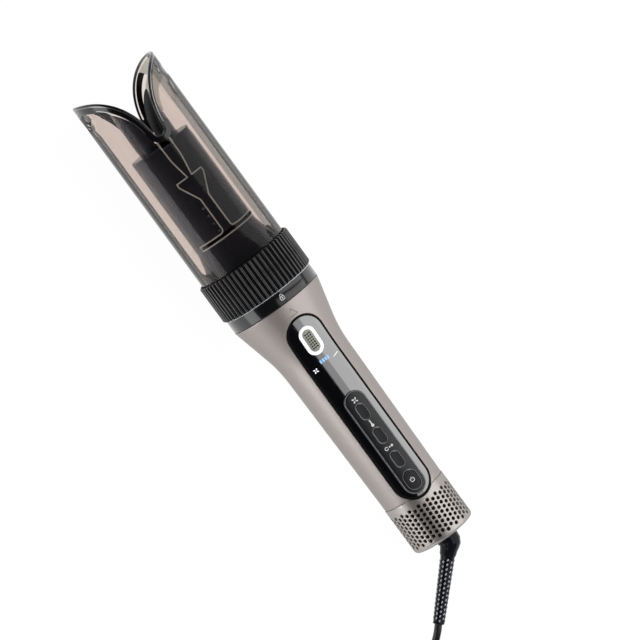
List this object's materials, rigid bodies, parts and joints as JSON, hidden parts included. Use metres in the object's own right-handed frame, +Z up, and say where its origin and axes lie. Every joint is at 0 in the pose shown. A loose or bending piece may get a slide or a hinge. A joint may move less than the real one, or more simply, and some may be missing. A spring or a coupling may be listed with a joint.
{
  "type": "automatic curling iron",
  "caption": "Hand-held hair curler: slim flared handle with keys, ribbed lock collar, and a turning slotted barrel inside a clear cover with a V mouth.",
  "frame": {"origin": "centre of the tool's footprint box on the surface that it lies on, without its cord", "axes": "+Y along the tool towards the mouth, +Z up, the control panel facing up; the tool lies tilted 3.5 degrees, on its tail edge and its lock collar"},
  "size_m": [0.1009, 0.5199, 0.0671],
  "materials": {
    "champagne": "satin metallic paint",
    "grille_metal": "satin champagne",
    "panel_black": "gloss black",
    "pad_black": "satin black",
    "collar_black": "matte black",
    "band_black": "gloss black",
    "smoke_clear": "clear smoked bronze",
    "barrel_black": "satin dark grey coating",
    "light_white": "bright white light guide",
    "light_blue": "light blue light guide",
    "board_green": "green board",
    "inner_black": "plain black",
    "steel": "plain steel",
    "nylon": "natural nylon",
    "brass": "sintered",
    "mica": "mica sheet",
    "rubber_black": "satin black",
    "lead_red": "red lead"
  },
  "bodies": {
    "handle": {"handle_front_shell": "champagne", "handle_rear_shell": "champagne", "display_panel": "panel_black", "control_pad": "pad_black", "curl_button_ring": "light_white", "level_lights": "light_blue", "control_board": "board_green", "tact_switches": "inner_black", "board_screws": "steel", "intake_grille": "grille_metal", "filter_mesh": "inner_black", "fan_motor": "steel", "motor_mount": "inner_black", "air_duct": "mica", "heater_frame": "mica", "heater_coil": "steel", "thermal_cutout": "steel", "curl_motor": "steel", "drive_frame": "inner_black", "lower_shaft_bush": "brass", "upper_shaft_bush": "brass", "frame_screws": "steel", "neck_socket": "inner_black", "head_base": "inner_black", "barrel_bush": "brass", "cover": "smoke_clear", "cover_latches": "inner_black", "swivel_bush": "inner_black", "internal_leads": "lead_red", "cord_run": "rubber_black", "cord_coil": "rubber_black", "cord_tie": "rubber_black", "cord_end": "rubber_black", "plug_body": "rubber_black", "plug_pins": "brass"},
    "lock_collar": {"collar_band": "band_black", "collar_grip": "collar_black"},
    "curl_barrel": {"barrel": "barrel_black", "barrel_tip": "barrel_black", "retaining_clip": "steel", "drive_gear": "nylon", "drive_shaft": "steel"},
    "pinion": {"motor_pinion": "brass"},
    "fan": {"fan_impeller": "inner_black"},
    "fan_key": {"fan_button": "pad_black"},
    "heat_key": {"heat_button": "pad_black"},
    "timer_key": {"timer_button": "pad_black"},
    "power_key": {"power_button": "pad_black"},
    "curl_key": {"curl_button": "pad_black"},
    "cord_swivel": {"cord_elbow": "rubber_black", "strain_relief": "rubber_black"}
  },
  "joints": [
    {"name": "collar_turn", "type": "hinge", "parent": "handle", "child": "lock_collar", "pos_m": [0, 0.02457, 0.03185], "axis": [0, 0.9982, 0.0605], "range_deg": [-40, 0]},
    {"name": "barrel_spin", "type": "hinge", "parent": "handle", "child": "curl_barrel", "pos_m": [0, 0.02477, 0.03186], "axis": [0, 0.9982, 0.0605], "continuous": true},
    {"name": "pinion_spin", "type": "hinge", "parent": "handle", "child": "pinion", "pos_m": [0, -0.00855, 0.01962], "axis": [0, 0.9982, 0.0605], "continuous": true},
    {"name": "fan_spin", "type": "hinge", "parent": "handle", "child": "fan", "pos_m": [0, -0.14971, 0.02128], "axis": [0, 0.9982, 0.0605], "continuous": true},
    {"name": "fan_key_press", "type": "slide", "parent": "handle", "child": "fan_key", "axis": [0, 0.0605, -0.9982], "range_m": [0, 0.0005], "stiffness_N_per_m": 500},
    {"name": "heat_key_press", "type": "slide", "parent": "handle", "child": "heat_key", "axis": [0, 0.0605, -0.9982], "range_m": [0, 0.0005], "stiffness_N_per_m": 500},
    {"name": "timer_key_press", "type": "slide", "parent": "handle", "child": "timer_key", "axis": [0, 0.0605, -0.9982], "range_m": [0, 0.0005], "stiffness_N_per_m": 500},
    {"name": "power_key_press", "type": "slide", "parent": "handle", "child": "power_key", "axis": [0, 0.0605, -0.9982], "range_m": [0, 0.0005], "stiffness_N_per_m": 500},
    {"name": "curl_key_press", "type": "slide", "parent": "handle", "child": "curl_key", "axis": [0, 0.0605, -0.9982], "range_m": [0, 0.0005], "stiffness_N_per_m": 500},
    {"name": "cord_swivel_turn", "type": "hinge", "parent": "handle", "child": "cord_swivel", "pos_m": [0, -0.16209, 0.02053], "axis": [0, 0.9982, 0.0605], "range_deg": [-10, 25]}
  ],
  "couplings": [
    {"joint": "pinion_spin", "follows": "barrel_spin", "ratio": -2.4}
  ]
}
